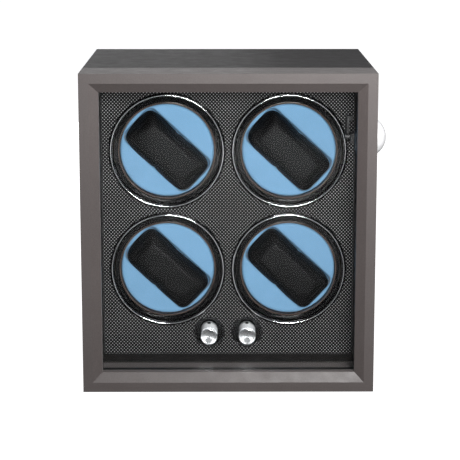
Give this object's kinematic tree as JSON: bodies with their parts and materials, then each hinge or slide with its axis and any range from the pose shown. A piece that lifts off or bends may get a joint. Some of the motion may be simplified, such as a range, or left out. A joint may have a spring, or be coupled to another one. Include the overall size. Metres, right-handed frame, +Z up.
{
  "type": "watch winder box",
  "caption": "Free-standing box with a hinged glass door, turning watch rotors with leather cushions behind chrome bezels, sunk control knobs and a domed side lock.",
  "frame": {"origin": "middle of the closed box's footprint, on the surface it stands on (the underside of the foot strip); the side knob and hinge knuckles are left out of that middle", "axes": "+X to the right as seen from the door, +Y towards the back panel, +Z up"},
  "size_m": [0.3191, 0.24, 0.333],
  "materials": {
    "case_wrap": "satin, wrapped in a fine-grained taupe grey covering",
    "lining": "matt dark brown-black lining",
    "rubber_black": "matt",
    "raw_board": "raw fibreboard",
    "fascia_weave": "woven-fibre look in black and light grey under clear lacquer",
    "chrome_trim": "polished",
    "black_panel": "matt",
    "screw_steel": "zinc plated",
    "jack_plastic": "matt",
    "nut_brass": "plain",
    "bearing_plastic": "plain",
    "gear_plastic": "natural acetal",
    "motor_metal": "drawn can",
    "bare_steel": "machined",
    "cup_black": "gloss",
    "pad_blue": "soft short-pile covering in sky blue",
    "cushion_leather": "grained black leather with seams",
    "knob_metal": "turned, with a spun face",
    "board_green": "circuit board",
    "clear_glass": "clear",
    "hinge_metal": "satin",
    "magnet_metal": "nickel plated",
    "lock_black": "black"
  },
  "bodies": {
    "case": {"back_panel": "black_panel", "battens": "raw_board", "bezel_rings": "chrome_trim", "case_bottom_board": "case_wrap", "case_hinge_leaves": "hinge_metal", "case_hinge_screws": "screw_steel", "case_left_board": "case_wrap", "case_magnets": "magnet_metal", "case_right_board": "case_wrap", "case_top_board": "case_wrap", "control_board": "board_green", "drive_plate": "black_panel", "fascia_panel": "fascia_weave", "foot_strip": "rubber_black", "gear_motor_left": "motor_metal", "gear_motor_right": "motor_metal", "hinge_pins": "hinge_metal", "interior_lining": "lining", "jack_nut": "nut_brass", "knob_pockets": "cup_black", "lock_bushing": "chrome_trim", "motor_screws": "screw_steel", "pan_head_screws": "screw_steel", "power_jack": "jack_plastic", "rotary_switches": "jack_plastic", "rotor_bearings": "bearing_plastic", "switch_nuts": "nut_brass"},
    "door": {"door_top_rail": "case_wrap", "door_bottom_rail": "case_wrap", "door_left_stile": "case_wrap", "door_right_stile": "case_wrap", "door_glass": "clear_glass", "glass_gasket": "rubber_black", "door_hinge_leaves": "hinge_metal", "door_hinge_screws": "screw_steel", "door_striker_plates": "magnet_metal", "lock_strike": "lock_black"},
    "rotor_top_left": {"rotor_cup_top_left": "cup_black", "rotor_gear_top_left": "gear_plastic", "rotor_pad_top_left": "pad_blue"},
    "cushion_top_left": {"watch_cushion_top_left": "cushion_leather"},
    "rotor_top_right": {"rotor_cup_top_right": "cup_black", "rotor_gear_top_right": "gear_plastic", "rotor_pad_top_right": "pad_blue"},
    "cushion_top_right": {"watch_cushion_top_right": "cushion_leather"},
    "rotor_bottom_left": {"rotor_cup_bottom_left": "cup_black", "rotor_gear_bottom_left": "gear_plastic", "rotor_pad_bottom_left": "pad_blue"},
    "cushion_bottom_left": {"watch_cushion_bottom_left": "cushion_leather"},
    "rotor_bottom_right": {"rotor_cup_bottom_right": "cup_black", "rotor_gear_bottom_right": "gear_plastic", "rotor_pad_bottom_right": "pad_blue"},
    "cushion_bottom_right": {"watch_cushion_bottom_right": "cushion_leather"},
    "pinion_left": {"pinion_shaft_left": "bare_steel"},
    "knob_left": {"control_knob_left": "knob_metal"},
    "pinion_right": {"pinion_shaft_right": "bare_steel"},
    "knob_right": {"control_knob_right": "knob_metal"},
    "side_lock": {"lock_knob": "chrome_trim", "lock_pawl": "lock_black", "lock_screw": "screw_steel"}
  },
  "joints": [
    {"name": "door_hinge", "type": "hinge", "parent": "case", "child": "door", "pos_m": [-0.15, -0.0676, 0.1675], "axis": [0, 0, -1], "range_deg": [0, 110]},
    {"name": "rotor_top_left_turn", "type": "hinge", "parent": "case", "child": "rotor_top_left", "pos_m": [-0.0648, -0.037, 0.2407], "axis": [0, 1, 0], "continuous": true},
    {"name": "rotor_top_right_turn", "type": "hinge", "parent": "case", "child": "rotor_top_right", "pos_m": [0.0648, -0.037, 0.2407], "axis": [0, 1, 0], "continuous": true},
    {"name": "rotor_bottom_left_turn", "type": "hinge", "parent": "case", "child": "rotor_bottom_left", "pos_m": [-0.0648, -0.037, 0.11191], "axis": [0, 1, 0], "continuous": true},
    {"name": "rotor_bottom_right_turn", "type": "hinge", "parent": "case", "child": "rotor_bottom_right", "pos_m": [0.0648, -0.037, 0.11191], "axis": [0, 1, 0], "continuous": true},
    {"name": "pinion_left_turn", "type": "hinge", "parent": "case", "child": "pinion_left", "pos_m": [-0.0648, 0, 0.1763], "axis": [0, 1, 0], "continuous": true},
    {"name": "pinion_right_turn", "type": "hinge", "parent": "case", "child": "pinion_right", "pos_m": [0.0648, 0, 0.1763], "axis": [0, 1, 0], "continuous": true},
    {"name": "cushion_top_left_pull", "type": "slide", "parent": "rotor_top_left", "child": "cushion_top_left", "axis": [0, -1, 0], "range_m": [0, 0.045]},
    {"name": "cushion_top_right_pull", "type": "slide", "parent": "rotor_top_right", "child": "cushion_top_right", "axis": [0, -1, 0], "range_m": [0, 0.045]},
    {"name": "cushion_bottom_left_pull", "type": "slide", "parent": "rotor_bottom_left", "child": "cushion_bottom_left", "axis": [0, -1, 0], "range_m": [0, 0.045]},
    {"name": "cushion_bottom_right_pull", "type": "slide", "parent": "rotor_bottom_right", "child": "cushion_bottom_right", "axis": [0, -1, 0], "range_m": [0, 0.045]},
    {"name": "knob_left_turn", "type": "hinge", "parent": "case", "child": "knob_left", "pos_m": [-0.0205, -0.037, 0.042], "axis": [0, 1, 0], "range_deg": [-135, 135]},
    {"name": "knob_right_turn", "type": "hinge", "parent": "case", "child": "knob_right", "pos_m": [0.0205, -0.037, 0.042], "axis": [0, 1, 0], "range_deg": [-135, 135]},
    {"name": "side_lock_turn", "type": "hinge", "parent": "case", "child": "side_lock", "pos_m": [0.15, -0.046, 0.25786], "axis": [1, 0, 0], "range_deg": [0, 90]}
  ],
  "couplings": [
    {"joint": "rotor_bottom_left_turn", "follows": "rotor_top_left_turn", "ratio": 1},
    {"joint": "pinion_left_turn", "follows": "rotor_top_left_turn", "ratio": -5},
    {"joint": "rotor_bottom_right_turn", "follows": "rotor_top_right_turn", "ratio": 1},
    {"joint": "pinion_right_turn", "follows": "rotor_top_right_turn", "ratio": -5}
  ]
}
